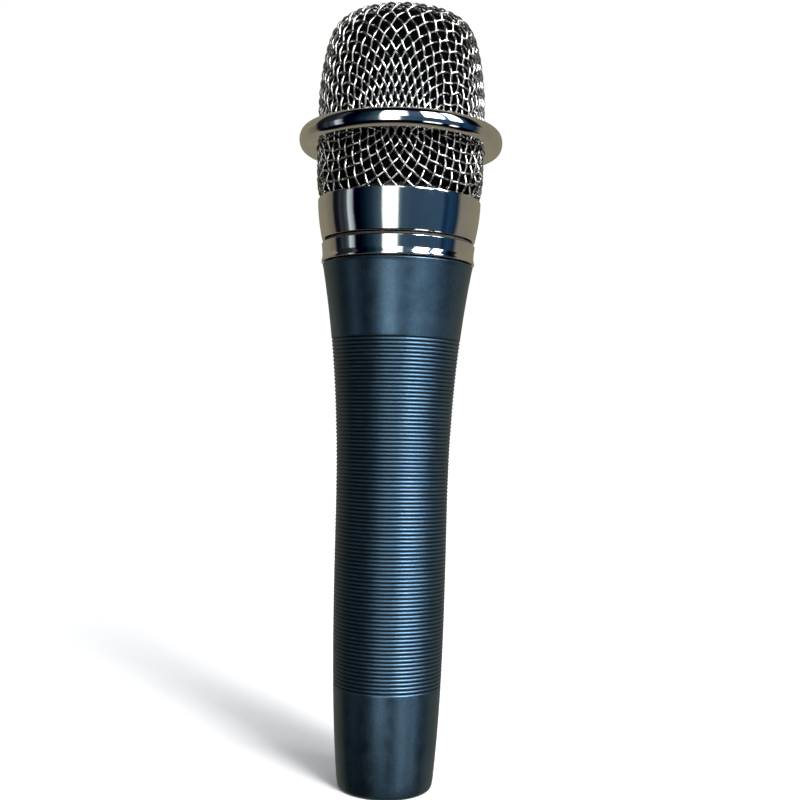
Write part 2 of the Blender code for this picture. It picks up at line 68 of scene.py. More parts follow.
def make_camera():
    tilt, pan, roll = (math.radians(a) for a in (CAMERA_TILT, CAMERA_PAN, CAMERA_ROLL))
    right = Vector((math.cos(pan), -math.sin(pan), 0.0))
    forward = Vector((math.sin(pan) * math.cos(tilt), math.cos(pan) * math.cos(tilt), math.sin(tilt)))
    up = right.cross(forward)
    leaned_right = math.cos(roll) * right + math.sin(roll) * up
    leaned_up = leaned_right.cross(forward)
    data = bpy.data.cameras.new("camera")
    data.sensor_width = SENSOR
    data.lens = FOCAL_LENGTH
    data.clip_start = 10.0 * MM
    data.clip_end = 20.0
    camera = bpy.data.objects.new("camera", data)
    axes = Matrix((leaned_right, leaned_up, -forward)).transposed()
    camera.matrix_world = Matrix.Translation((0.0, -CAMERA_DISTANCE * MM, CAMERA_HEIGHT * MM)) @ axes.to_4x4()
    SCENE.collection.objects.link(camera)
    SCENE.camera = camera


make_camera()
SCENE.view_settings.view_transform = "Standard"


# ---------------------------------------------------------------- materials

def link(tree, source, target):
    tree.links.new(source, target)


def ramp(tree, factor, stops):
    """Colour ramp through (position, colour) stops."""
    made = tree.nodes.new("ShaderNodeValToRGB")
    elements = made.color_ramp.elements
    while len(elements) < len(stops):
        elements.new(0.5)
    for element, (position, colour) in zip(elements, sorted(stops, key=lambda s: s[0])):
        element.position = position
    for element, (position, colour) in zip(elements, sorted(stops, key=lambda s: s[0])):
        element.color = (*colour, 1.0)
    link(tree, factor, made.inputs["Fac"])
    return made.outputs["Color"]


def noise(tree, size, detail=3.0, stretch=(1.0, 1.0, 1.0), rough=0.55):
    """Noise whose blobs are about size millimetres across, fixed to the piece."""
    where = tree.nodes.new("ShaderNodeTexCoord")
    scale = tree.nodes.new("ShaderNodeMapping")
    scale.inputs["Scale"].default_value = [s / (size * MM) for s in stretch]
    made = tree.nodes.new("ShaderNodeTexNoise")
    made.inputs["Scale"].default_value = 1.0
    made.inputs["Detail"].default_value = detail
    made.inputs["Roughness"].default_value = rough
    link(tree, where.outputs["Object"], scale.inputs["Vector"])
    link(tree, scale.outputs["Vector"], made.inputs["Vector"])
    return made.outputs["Fac"]


def remap(tree, value, low, high, start=0.3, end=0.7):
    made = tree.nodes.new("ShaderNodeMapRange")
    made.inputs["From Min"].default_value = start
    made.inputs["From Max"].default_value = end
    made.inputs["To Min"].default_value = low
    made.inputs["To Max"].default_value = high
    link(tree, value, made.inputs["Value"])
    return made.outputs["Result"]


def bump(tree, height, depth, strength=1.0):
    """Bump whose full height is depth millimetres."""
    made = tree.nodes.new("ShaderNodeBump")
    made.inputs["Strength"].default_value = strength
    made.inputs["Distance"].default_value = depth * MM
    link(tree, height, made.inputs["Height"])
    return made.outputs["Normal"]


def mixed(tree, factor, first, second):
    """Colour mix; the colours are outputs or plain tuples."""
    made = tree.nodes.new("ShaderNodeMix")
    made.data_type = "RGBA"
    link(tree, factor, made.inputs["Factor"])
    for value, socket in ((first, made.inputs["A"]), (second, made.inputs["B"])):
        if isinstance(value, tuple):
            socket.default_value = (*value, 1.0)
        else:
            link(tree, value, socket)
    return made.outputs["Result"]


def blank(name):
    material = bpy.data.materials.new(name)
    material.use_nodes = True
    return material, material.node_tree, material.node_tree.nodes["Principled BSDF"]


def grained(name, tones, roughness, metallic=0.0, size=2.0, relief=0.0, relief_size=0.3,
            stretch=(1.0, 1.0, 1.0), specular=0.5):
    """Colour drifts between two tones and roughness between two values; relief is a fine grain."""
    material, tree, shader = blank(name)
    cloud = noise(tree, size, stretch=stretch)
    link(tree, ramp(tree, cloud, [(0.32, tones[0]), (0.68, tones[1])]), shader.inputs["Base Color"])
    patch = noise(tree, 0.6 * size, detail=5.0, stretch=stretch)
    link(tree, remap(tree, patch, *roughness), shader.inputs["Roughness"])
    if relief:
        grain = noise(tree, relief_size, detail=4.0, stretch=stretch)
        link(tree, bump(tree, grain, relief), shader.inputs["Normal"])
    shader.inputs["Metallic"].default_value = metallic
    shader.inputs["Specular IOR Level"].default_value = specular
    return material


GROOVES = 91
GROOVE_TOP = 104.34          # height of the highest groove
GROOVE_BOTTOM = 24.18        # height of the lowest groove
GROOVE_PITCH = (GROOVE_TOP - GROOVE_BOTTOM) / (GROOVES - 1)


def math_node(tree, operation, first, second):
    """One arithmetic step on two values: the first is an output, the second an output or a float."""
    made = tree.nodes.new("ShaderNodeMath")
    made.operation = operation
    link(tree, first, made.inputs[0])
    if isinstance(second, float):
        made.inputs[1].default_value = second
    else:
        link(tree, second, made.inputs[1])
    return made.outputs["Value"]


def groove_masks(tree):
    """Where the grooved grip is, and where the bottoms of its grooves are, which get painted shade."""
    where = tree.nodes.new("ShaderNodeTexCoord")
    split = tree.nodes.new("ShaderNodeSeparateXYZ")
    link(tree, where.outputs["Object"], split.inputs["Vector"])
    up = split.outputs["Z"]
    half = 0.5 * GROOVE_PITCH
    above = math_node(tree, "GREATER_THAN", up, (GROOVE_BOTTOM - half) * MM)
    below = math_node(tree, "LESS_THAN", up, (GROOVE_TOP + half) * MM)
    grip = math_node(tree, "MULTIPLY", above, below)
    rise = math_node(tree, "SUBTRACT", up, GROOVE_BOTTOM * MM)
    pitches = math_node(tree, "MULTIPLY", rise, 1.0 / (GROOVE_PITCH * MM))
    away = math_node(tree, "PINGPONG", pitches, 0.5)
    return grip, math_node(tree, "MULTIPLY", grip, remap(tree, away, 1.0, 0.0, 0.12, 0.32))


def make_paint():
    """Satin dark blue metallic lacquer with fine flake, faint drift in tone and a few pale scuffs; the
    bottoms of the grooves carry painted shade, near black.
    """
    dark, light, glint = (0.056, 0.110, 0.166), (0.074, 0.134, 0.196), (0.19, 0.30, 0.40)
    # The third colour on the next line is painted shade for the bottoms of the grooves.
    scuffed, ridge, painted_groove_shade = (0.24, 0.28, 0.31), (0.10, 0.22, 0.36), (0.005, 0.013, 0.026)
    material, tree, shader = blank("handle_paint_look")
    drift = ramp(tree, noise(tree, 9.0), [(0.35, dark), (0.65, light)])
    flake = remap(tree, noise(tree, 0.10, detail=1.0), 0.0, 1.0, 0.50, 0.78)
    sparkle = mixed(tree, flake, drift, glint)
    rubbing = noise(tree, 1.6, detail=6.0, stretch=(1.0, 1.0, 0.45), rough=0.7)
    worn = mixed(tree, remap(tree, rubbing, 0.0, 0.55, 0.69, 0.76), sparkle, scuffed)
    grip, groove = groove_masks(tree)
    ridges = mixed(tree, math_node(tree, "MULTIPLY", grip, 0.10), worn, ridge)
    # Painted shade: the bottoms of the grooves are darkened nearly to black.
    grooved = mixed(tree, math_node(tree, "MULTIPLY", groove, 0.94), ridges, painted_groove_shade)
    link(tree, grooved, shader.inputs["Base Color"])
    satin = remap(tree, noise(tree, 3.0, detail=6.0), 0.30, 0.39)
    rougher = math_node(tree, "ADD", satin, math_node(tree, "MULTIPLY", grip, 0.05))
    link(tree, rougher, shader.inputs["Roughness"])
    link(tree, bump(tree, noise(tree, 0.14, detail=2.0), 0.012), shader.inputs["Normal"])
    shader.inputs["Metallic"].default_value = 1.0
    return material


def make_chrome():
    """Polished chrome with a trace of handling marks."""
    material, tree, shader = blank("chrome_look")
    link(tree, ramp(tree, noise(tree, 5.0), [(0.3, (0.74, 0.74, 0.74)), (0.7, (0.80, 0.80, 0.79))]),
         shader.inputs["Base Color"])
    smear = noise(tree, 1.8, detail=6.0, stretch=(1.0, 1.0, 0.5), rough=0.7)
    link(tree, remap(tree, smear, 0.035, 0.12, 0.45, 0.80), shader.inputs["Roughness"])
    link(tree, bump(tree, noise(tree, 3.0, detail=2.0), 0.010), shader.inputs["Normal"])
    shader.inputs["Metallic"].default_value = 1.0
    return material


def make_wire_finish():
    """Bright plated wire, a little duller in patches."""
    material, tree, shader = blank("grille_wire_look")
    dull, bright = (0.32, 0.32, 0.32), (0.82, 0.82, 0.81)
    link(tree, ramp(tree, noise(tree, 1.4, detail=5.0), [(0.34, dull), (0.62, bright)]),
         shader.inputs["Base Color"])
    link(tree, remap(tree, noise(tree, 0.8, detail=4.0), 0.13, 0.24), shader.inputs["Roughness"])
    link(tree, bump(tree, noise(tree, 0.12, detail=2.0), 0.004), shader.inputs["Normal"])
    shader.inputs["Metallic"].default_value = 1.0
    return material


LOOKS = {
    "handle_paint": make_paint(),
    "chrome": make_chrome(),
    "grille_wire": make_wire_finish(),
    "foam": grained("foam_look", ((0.0005, 0.0005, 0.0006), (0.0016, 0.0016, 0.0018)), (0.9, 1.0),
                    size=0.5, relief=0.25, relief_size=0.35, specular=0.02),
    "rubber": grained("rubber_look", ((0.015, 0.015, 0.016), (0.03, 0.03, 0.03)), (0.6, 0.8),
                      size=1.5, relief=0.02),
    "black_plastic": grained("black_plastic_look", ((0.016, 0.016, 0.018), (0.03, 0.03, 0.032)), (0.35, 0.55),
                             size=2.5, relief=0.015, relief_size=0.2),
    "nickel": grained("nickel_look", ((0.60, 0.58, 0.54), (0.72, 0.70, 0.66)), (0.18, 0.34), 1.0,
                      size=1.5, relief=0.008, stretch=(1.0, 1.0, 0.2)),
    "pin_gold": grained("pin_gold_look", ((0.78, 0.56, 0.22), (0.88, 0.68, 0.34)), (0.16, 0.30), 1.0,
                        size=0.8, relief=0.005, stretch=(1.0, 1.0, 0.25)),
    "steel": grained("steel_look", ((0.42, 0.42, 0.43), (0.56, 0.56, 0.57)), (0.28, 0.45), 1.0,
                     size=0.9, relief=0.008),
    "spigot_metal": grained("spigot_metal_look", ((0.50, 0.42, 0.28), (0.62, 0.54, 0.38)), (0.25, 0.42), 1.0,
                            size=1.8, relief=0.006, stretch=(1.0, 1.0, 4.0)),
    "capsule_aluminium": grained("capsule_aluminium_look", ((0.55, 0.55, 0.56), (0.68, 0.68, 0.69)),
                                 (0.30, 0.45), 1.0, size=1.2, relief=0.008, stretch=(1.0, 1.0, 4.0)),
    "magnet_grey": grained("magnet_grey_look", ((0.24, 0.24, 0.25), (0.34, 0.34, 0.35)), (0.4, 0.6), 0.8,
                           size=0.8, relief=0.02),
    "board_green": grained("board_green_look", ((0.03, 0.17, 0.07), (0.07, 0.26, 0.13)), (0.35, 0.5),
                           size=1.0, relief=0.01),
    "diaphragm_film": grained("diaphragm_film_look", ((0.66, 0.65, 0.60), (0.80, 0.79, 0.75)), (0.12, 0.25),
                              size=2.0, relief=0.01),
    "coil_copper": grained("coil_copper_look", ((0.66, 0.28, 0.12), (0.82, 0.42, 0.22)), (0.25, 0.4), 1.0,
                           size=0.6, relief=0.02, stretch=(0.3, 0.3, 8.0)),
    "lead_red": grained("lead_red_look", ((0.42, 0.02, 0.02), (0.60, 0.04, 0.04)), (0.4, 0.55),
                        size=1.2, relief=0.01),
    "lead_white": grained("lead_white_look", ((0.66, 0.66, 0.63), (0.80, 0.80, 0.78)), (0.4, 0.55),
                          size=1.2, relief=0.01),
}
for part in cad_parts.values():
    for seat in part.material_slots:
        seat.material = LOOKS[seat.material.name.split(".")[0]]


# ---------------------------------------------------------------- mesh helpers

def add_piece(name, vertices, faces, slot, body, stands_for=(), sharp=35.0):
    """Make a piece from millimetre vertices, shade it, dress it and let it ride on its body."""
    mesh = bpy.data.meshes.new(name)
    mesh.from_pydata((np.asarray(vertices, float) * MM).tolist(), [], faces)
    mesh.update()
    mesh.shade_smooth()
    if sharp:
        mesh.set_sharp_from_angle(angle=math.radians(sharp))
    mesh.materials.append(LOOKS[slot])
    piece = bpy.data.objects.new(name, mesh)
    SCENE.collection.objects.link(piece)
    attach(piece, body)
    if stands_for:
        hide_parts(*stands_for)
    return piece


def spun(outline, steps, closed=True):
    """Vertices and faces of a turned body. The outline runs down its outer side and up its bore."""
    outline = np.asarray(outline, float)
    angles = np.arange(steps) * TURN / steps
    rows, vertices = [], []
    for r, z in outline:
        if r < 1e-6:
            rows.append([len(vertices)] * steps)
            vertices.append((0.0, 0.0, z))
        else:
            rows.append(list(range(len(vertices), len(vertices) + steps)))
            vertices.extend((r * math.cos(a), r * math.sin(a), z) for a in angles)
    pairs = list(zip(rows, rows[1:]))
    if closed:
        pairs.append((rows[-1], rows[0]))
    faces = []
    for upper, lower in pairs:
        for i in range(steps):
            j = (i + 1) % steps
            corners = [upper[i], lower[i], lower[j], upper[j]]
            if upper[i] == upper[j]:
                corners = [upper[i], lower[i], lower[j]]
            elif lower[i] == lower[j]:
                corners = [upper[i], lower[i], upper[j]]
            faces.append(corners)
    return vertices, faces


def eased(corners, steps=4):
    """Closed outline from (r, z, edge radius) corners, each rounded by its radius."""
    outline = []
    count = len(corners)
    for i, (r, z, radius) in enumerate(corners):
        here = np.array((r, z), float)
        if radius <= 0.0:
            outline.append(tuple(here))
            continue
        before = np.array(corners[i - 1][:2], float) - here
        after = np.array(corners[(i + 1) % count][:2], float) - here
        before /= np.linalg.norm(before)
        after /= np.linalg.norm(after)
        half = 0.5 * math.acos(max(-1.0, min(1.0, float(before @ after))))
        reach = radius / math.tan(half)
        centre = here + (before + after) / np.linalg.norm(before + after) * radius / math.sin(half)
        start, end = here + before * reach - centre, here + after * reach - centre
        sweep = math.acos(max(-1.0, min(1.0, float(start @ end) / radius ** 2)))
        for k in range(steps + 1):
            t = k / steps
            a, b = math.sin((1.0 - t) * sweep), math.sin(t * sweep)
            outline.append(tuple(centre + (start * a + end * b) / math.sin(sweep)))
    return outline


# ---------------------------------------------------------------- handle

HANDLE_TOP = 122.1
WAIST_RADIUS = 13.15
TAIL_TAPER = 2.02            # how much slimmer the tail rim is than the waist
TAIL_TAPER_END = 72.9
TAIL_POWER = 3.58
FLARE = 4.58                 # how much wider the neck is than the waist
FLARE_START = 61.5
FLARE_POWER = 2.4
HANDLE_STEPS = 128
GROOVE_DEPTH = 0.17
GROOVE_HALF_WIDTH = 0.33
# Points across a groove, as (shares of its half width, shares of its depth).
GROOVE_SECTION = ((1.0, 0.0), (0.75, 0.18), (0.4, 0.78), (0.0, 1.0), (-0.4, 0.78), (-0.75, 0.18), (-1.0, 0.0))
# Points up the bore, as (radius, height).
BORE = ((9.0, 0.0), (9.0, 21.5), (11.0, 24.0), (11.0, 97.0), (14.6, 112.0), (14.6, HANDLE_TOP))


def handle_radius(z):
    taper = max(0.0, 1.0 - z / TAIL_TAPER_END)
    flare = max(0.0, (z - FLARE_START) / (HANDLE_TOP - FLARE_START))
    return WAIST_RADIUS - TAIL_TAPER * taper ** TAIL_POWER + FLARE * flare ** FLARE_POWER


def handle_outline():
    """Outer side with its turned grooves, the rounded tail rim, and the stepped bore."""
    rim, mouth = 0.9, 0.35
    foot, neck = handle_radius(0.0), handle_radius(HANDLE_TOP)
    outline = [(neck - mouth, HANDLE_TOP)]
    for angle in (30.0, 60.0, 90.0):
        a = math.radians(angle)
        outline.append((neck - mouth * (1.0 - math.sin(a)), HANDLE_TOP - mouth * (1.0 - math.cos(a))))
    edge = GROOVE_HALF_WIDTH
    outline += [(handle_radius(z), z) for z in np.linspace(HANDLE_TOP - 0.6, GROOVE_TOP + 2.0 * edge, 26)]
    for centre in np.linspace(GROOVE_TOP, GROOVE_BOTTOM, GROOVES):
        for shift, share in GROOVE_SECTION:
            z = centre + shift * edge
            outline.append((handle_radius(z) - GROOVE_DEPTH * share, z))
    outline += [(handle_radius(z), z) for z in np.linspace(GROOVE_BOTTOM - 2.0 * edge, 2.0, 22)]
    for i in range(7):
        a = math.radians(15.0 * i)
        outline.append((foot - rim * (1.0 - math.cos(a)), rim * (1.0 - math.sin(a))))
    return outline + list(BORE)


add_piece("handle_grooved", *spun(handle_outline(), HANDLE_STEPS), "handle_paint", "handle_body", ("handle",))


# ---------------------------------------------------------------- chrome trim

COLLAR_TOP = 137.1
COLLAR_BOTTOM = 127.7
COLLAR_RADIUS = 19.22        # at its top
COLLAR_TAPER = 1.22
SEAT_HEIGHT = 136.4          # ledge in the collar that the lower mesh stands on
SEAT_RADIUS = 18.85
BAND_TOP = 126.8
BAND_BOTTOM = 122.4
BAND_WAIST = 17.85
TRIM_BORE = 16.6             # radius
TRIM_EDGE = 0.12             # edge radius of the collar and the band
RING_HEIGHT = 151.3
RING_OUTER = 24.0
RING_HALF = 2.2              # half its thickness
RING_CROWN = 1.3
TRIM_STEPS = 160


def collar_radius(z):
    return COLLAR_RADIUS - COLLAR_TAPER * ((COLLAR_TOP - z) / (COLLAR_TOP - COLLAR_BOTTOM)) ** 1.8


def band_radius(z):
    """Cove between the wider top edge and the flared lip at the foot."""
    neck, lip, top_flare, lip_flare = 124.1, 122.9, 0.25, 0.20
    if z >= neck:
        return BAND_WAIST + top_flare * ((z - neck) / (BAND_TOP - neck)) ** 1.5
    return BAND_WAIST + lip_flare * min(1.0, (neck - z) / (neck - lip)) ** 2


def collar_outline():
    corners = [(collar_radius(COLLAR_TOP), COLLAR_TOP, TRIM_EDGE)]
    corners += [(collar_radius(z), z, 0.0) for z in np.linspace(COLLAR_TOP - 0.3, COLLAR_BOTTOM + 0.3, 24)]
    corners += [(collar_radius(COLLAR_BOTTOM), COLLAR_BOTTOM, TRIM_EDGE), (TRIM_BORE, COLLAR_BOTTOM, 0.0)]
    corners += [(TRIM_BORE, SEAT_HEIGHT, 0.0), (SEAT_RADIUS, SEAT_HEIGHT, 0.0)]
    corners += [(SEAT_RADIUS, COLLAR_TOP, 0.1)]
    return eased(corners)


def band_outline():
    corners = [(band_radius(BAND_TOP), BAND_TOP, TRIM_EDGE)]
    corners += [(band_radius(z), z, 0.0) for z in np.linspace(BAND_TOP - 0.3, BAND_BOTTOM + 0.4, 22)]
    corners += [(band_radius(BAND_BOTTOM), BAND_BOTTOM, TRIM_EDGE), (TRIM_BORE, BAND_BOTTOM, 0.0),
                (TRIM_BORE, BAND_TOP, 0.0)]
    return eased(corners)


def ring_outline():
    """Crowned outer face, flat faces above and below, and a lip inside that covers the wire ends."""
    outline = []
    for angle in np.linspace(90.0, -90.0, 41):
        a = math.radians(angle)
        outline.append((RING_OUTER - RING_CROWN * (1.0 - math.cos(a)), RING_HEIGHT + RING_HALF * math.sin(a)))
    rim, grip, lip = 19.95, 19.72, 19.0
    edge, lip_half = 0.2, 0.5
    above = [(lip, lip_half), (grip, RING_HALF - edge), (rim, RING_HALF)]
    below = [(r, -z) for r, z in reversed(above)]
    return outline + [(r, RING_HEIGHT + z) for r, z in below + above]


add_piece("collar_polished", *spun(collar_outline(), TRIM_STEPS), "chrome", "grille_body", ("upper_collar",))
add_piece("band_polished", *spun(band_outline(), TRIM_STEPS), "chrome", "handle_body", ("lower_band",))
add_piece("halo_ring_polished", *spun(ring_outline(), TRIM_STEPS), "chrome", "grille_body", ("halo_ring",))


# ---------------------------------------------------------------- woven wire

WIRE_RADIUS = 0.26
WAVE = 0.28                  # how far a wire swings out over and in under the ones it crosses
PITCH = 2.3
SAMPLES = 7                  # points along a wire in one cell
SIDES = 7                    # of a wire's section
MESH_RADIUS = 19.76
WIRE_INSET = 0.56            # from the outside of the mesh to the middle of the weave
WIRE_END = 0.15              # from the middle of the halo ring to the ends of the wires
DOME_SPRING = 161.16         # where the upright wall ends
DOME_SHOULDER = 17.5
DOME_CROWN = 3.0             # rise of the nearly flat top
DOME_POWER = 10.75
DOME_ROOT = 0.835
SKIRT_FOOT = 135.9
SKIRT_BEND = 146.0           # below this the lower mesh leans in
SKIRT_LEAN = 1.36
UPPER_TURN = -140.0          # degrees that each cloth is turned about the axis
LOWER_TURN = -136.0


class Shell:
    """A surface of revolution, addressed by arc length from its pole times the azimuth's direction."""

    def __init__(self, r, z):
        r, z = np.asarray(r), np.asarray(z)
        s = np.concatenate([[0.0], np.cumsum(np.hypot(np.diff(r), np.diff(z)))])
        self.s = np.linspace(0.0, s[-1], 2000)
        self.r = np.interp(self.s, s, r)
        self.z = np.interp(self.s, s, z)
        self.dr = np.gradient(self.r, self.s)
        self.dz = np.gradient(self.z, self.s)

    def at(self, q):
        """Points, the two tangents, the two directions in the flat map, and how the map stretches.

        The small shift keeps a wire off the pole itself, where a surface of revolution has no azimuth.
        """
        q = q + [1e-6, 0.0]
        s = np.hypot(q[..., 0], q[..., 1]) + 1e-9
        c, n = q[..., 0] / s, q[..., 1] / s
        r, z = np.interp(s, self.s, self.r), np.interp(s, self.s, self.z)
        dr, dz = np.interp(s, self.s, self.dr), np.interp(s, self.s, self.dz)
        points = np.stack([r * c, r * n, z], -1)
        down = np.stack([dr * c, dr * n, dz], -1)
        across = np.stack([-n, c, np.zeros_like(c)], -1)
        along_s, along_a = np.stack([c, n], -1), np.stack([-n, c], -1)
        stretch = (s / np.maximum(r, 1e-9))[..., None]
        return points, down, across, along_s, along_a, stretch


def draped(shell, reach, stages, locked):
    """Square wire cloth drawn over a shell: wires keep their spacing and shear past each other.

    Each stage is (rounds, stiffness of the wires, hold on their spacing). The cells' diagonals are kept
    from getting shorter than locked. Each round ends by making the cloth symmetric about its axes and a
    diagonal. It returns the crossings in the shell's flat map, and which of them are in reach.
    """
    haste = 1.2                  # a little past the average of the pushes, to settle sooner
    n = int(round(reach / PITCH))
    i = np.arange(-n, n + 1) * PITCH
    q = np.stack(np.meshgrid(i, i, indexing="ij"), -1)
    live = (np.hypot(q[..., 0], q[..., 1]) <= reach)[..., None]
    ties = [(np.s_[:-1], np.s_[1:], PITCH, False), (np.s_[:, :-1], np.s_[:, 1:], PITCH, False),
            (np.s_[:-1, :-1], np.s_[1:, 1:], locked, True), (np.s_[:-1, 1:], np.s_[1:, :-1], locked, True)]
    for rounds, stiffness, hold in stages:
        for _ in range(rounds):
            p, down, across, along_s, along_a, stretch = shell.at(q)
            push = np.zeros_like(p)
            weight = np.full(live.shape, 1e-6)
            for a, b, rest, only_short in ties:
                d = p[b] - p[a]
                length = np.linalg.norm(d, axis=-1, keepdims=True) + 1e-9
                error = length - rest
                if only_short:
                    error = np.minimum(error, 0.0)
                share = 1.0 if only_short else hold
                both = live[a] & live[b]
                c = 0.5 * share * error * d / length * both
                push[a] += c
                push[b] -= c
                weight[a] += both * share
                weight[b] += both * share
            step = haste * push / np.maximum(weight, 1.0)
            for axis in (0, 1):
                p_, s_, l_ = (np.swapaxes(v, 0, axis) for v in (p, step, live))
                s_[1:-1] += stiffness * (l_[2:] & l_[:-2] & l_[1:-1]) * (0.5 * (p_[2:] + p_[:-2]) - p_[1:-1])
            q = q + (step * down).sum(-1, keepdims=True) * along_s
            q = q + (step * across).sum(-1, keepdims=True) * stretch * along_a
            q = 0.5 * (q + q[::-1] * [-1, 1])
            q = 0.5 * (q + q[:, ::-1] * [1, -1])
            q = 0.5 * (q + np.swapaxes(q, 0, 1)[..., ::-1])
    return q, live[..., 0]


def spline(points, samples):
    """Catmull-Rom curve through the points."""
    ends = np.concatenate([2 * points[:1] - points[1:2], points, 2 * points[-1:] - points[-2:-1]])
    a, b, c, d = ends[:-3], ends[1:-2], ends[2:-1], ends[3:]
    t = (np.arange(samples) / samples)[None, :, None]
    a, b, c, d = (v[:, None, :] for v in (a, b, c, d))
    square, cube = 2 * a - 5 * b + 4 * c - d, 3 * b - a - 3 * c + d
    curve = 0.5 * (2 * b + (c - a) * t + square * t ** 2 + cube * t ** 3)
    return np.concatenate([curve.reshape(-1, points.shape[1]), points[-1:]])


def tube(path, normal, vertices, faces, radius=None, sides=None):
    """Append a round wire along a path, as thick as the mesh's unless a radius is given."""
    radius, sides = radius or WIRE_RADIUS, sides or SIDES
    tangent = np.gradient(path, axis=0)
    tangent /= np.linalg.norm(tangent, axis=1, keepdims=True)
    side = np.cross(tangent, normal)
    side /= np.linalg.norm(side, axis=1, keepdims=True)
    outward = np.cross(side, tangent)
    angles = np.arange(sides) * TURN / sides
    ring = path[:, None] + radius * (np.cos(angles)[None, :, None] * outward[:, None]
                                     + np.sin(angles)[None, :, None] * side[:, None])
    first = len(vertices)
    vertices.extend(ring.reshape(-1, 3).tolist())
    for i in range(len(path) - 1):
        row = first + i * sides
        for k in range(sides):
            m = (k + 1) % sides
            faces.append((row + k, row + m, row + sides + m, row + sides + k))
    last = first + (len(path) - 1) * sides
    faces.append(tuple(first + k for k in range(sides))[::-1])
    faces.append(tuple(last + k for k in range(sides)))


def weave(prefix, shell, cloth, turn, heights, stands_for, outward):
    """Both wire families of a mesh, clipped between two heights.

    The cloth is what draped() takes beside the shell. Outward is -1 where the shell's normal points in.
    """
    q, live = draped(shell, **cloth)
    low, high = heights
    c, s = math.cos(math.radians(turn)), math.sin(math.radians(turn))
    spin = np.array([[c, s], [-s, c]])
    for family, name in enumerate(("warp", "weft")):
        vertices, faces = [], []
        grid = q if family == 0 else np.swapaxes(q, 0, 1)
        alive = live if family == 0 else live.T
        for i in range(len(grid)):
            used = np.flatnonzero(alive[i])
            if len(used) < 3:
                continue
            line = spline(grid[i, used], SAMPLES)
            phase = used[0] + np.arange(len(line)) / SAMPLES + i + family
            p, down, across = shell.at(line @ spin)[:3]
            normal = outward * np.cross(down, across)
            p = p + WAVE * np.cos(math.pi * phase)[:, None] * normal
            inside = (p[:, 2] >= low) & (p[:, 2] <= high)
            edges = np.flatnonzero(np.diff(np.concatenate([[0], inside.astype(int), [0]])))
            for start, end in zip(edges[::2], edges[1::2]):
                if end - start > 2:
                    tube(p[start:end], normal[start:end], vertices, faces)
        add_piece(prefix + "_" + name, vertices, faces, "grille_wire", "grille_body",
                  stands_for if family == 0 else (), sharp=None)


def dome_shell(inset, floor):
    """The dome set in from the outside of the mesh, and its upright wall down to a floor."""
    share = np.sin(np.linspace(0.0, 0.5 * math.pi, 800))
    r = MESH_RADIUS * share
    shoulder = DOME_SHOULDER * (1.0 - share ** DOME_POWER) ** DOME_ROOT
    z = DOME_SPRING + DOME_CROWN * (1.0 - share ** 2) + shoulder
    dr, dz = np.gradient(r), np.gradient(z)
    length = np.hypot(dr, dz)
    r, z = r + inset * dz / length, z - inset * dr / length
    r[0], r[-1], z[-1] = 0.0, MESH_RADIUS - inset, DOME_SPRING
    return Shell(np.append(r, r[-1]), np.append(z, floor))


def skirt_shell():
    """The lower mesh is a cup whose pole is under the capsule; its wall leans in at the foot."""
    corner, top, lean_height = 1.2, 156.0, 9.2
    heights = np.linspace(SKIRT_FOOT + corner, top, 200)
    lean = SKIRT_LEAN * np.maximum(0.0, (SKIRT_BEND - heights) / lean_height) ** 4
    wall = MESH_RADIUS - WIRE_INSET - lean
    a = np.linspace(0.0, 0.5 * math.pi, 20)
    edge_r = wall[0] - corner + corner * np.sin(a)
    edge_z = SKIRT_FOOT + corner - corner * np.cos(a)
    r = np.concatenate([[0.0], edge_r, wall[1:]])
    z = np.concatenate([[SKIRT_FOOT], edge_z, heights[1:]])
    return Shell(r, z)


def make_meshes():
    """Both cloths reach a little past the part of them that is kept."""
    above_dome, dome_floor, skirt_end = 190.0, 128.0, SKIRT_FOOT + 0.7
    weave("upper_mesh_wires", dome_shell(WIRE_INSET, dome_floor),
          {"reach": 55.0, "stages": [(300, 0.25, 0.5), (1000, 0.022, 1.0)], "locked": 1.6},
          UPPER_TURN, (RING_HEIGHT + WIRE_END, above_dome), ("upper_mesh",), -1.0)
    weave("lower_mesh_wires", skirt_shell(),
          {"reach": 37.0, "stages": [(300, 0.35, 0.5), (300, 0.08, 1.0)], "locked": 1.35},
          LOWER_TURN, (skirt_end, RING_HEIGHT - WIRE_END), ("lower_mesh",), 1.0)


make_meshes()


# ---------------------------------------------------------------- foam and thread

def even_points(shell, count):
    """Points (r, z) of a shell at even steps from its pole to its foot."""
    s = np.linspace(0.0, shell.s[-1], count)
    return np.stack([np.interp(s, shell.s, shell.r), np.interp(s, shell.s, shell.z)], -1).tolist()


def make_foam():
    """Open-cell foam hood with a pitted skin, hollow inside."""
    inset, wall, foot, steps = 1.66, 2.4, 138.8, 144
    # Pits point at the axis in the wall, and at the middle from this far above the wall.
    pit, middle, slant = 0.30, (0.0, 0.0, 150.0), 15.0
    outer = even_points(dome_shell(inset, foot), 96)
    inner = even_points(dome_shell(inset + wall, foot), 24)
    vertices, faces = spun(outer + inner[::-1], steps, closed=False)
    rng = np.random.default_rng(7)
    points = np.asarray(vertices, float)
    skin = slice(1, 1 + steps * (len(outer) - 1))
    inward = np.array(middle) - points[skin]
    inward[:, 2] *= np.clip((points[skin, 2] - DOME_SPRING) / slant, 0.0, 1.0)
    inward /= np.linalg.norm(inward, axis=1, keepdims=True) + 1e-9
    points[skin] += inward * (pit * rng.random(len(inward)) ** 2)[:, None]
    foam = add_piece("foam_windscreen", points, faces, "foam", "liner_body", ("foam_liner",), sharp=None)


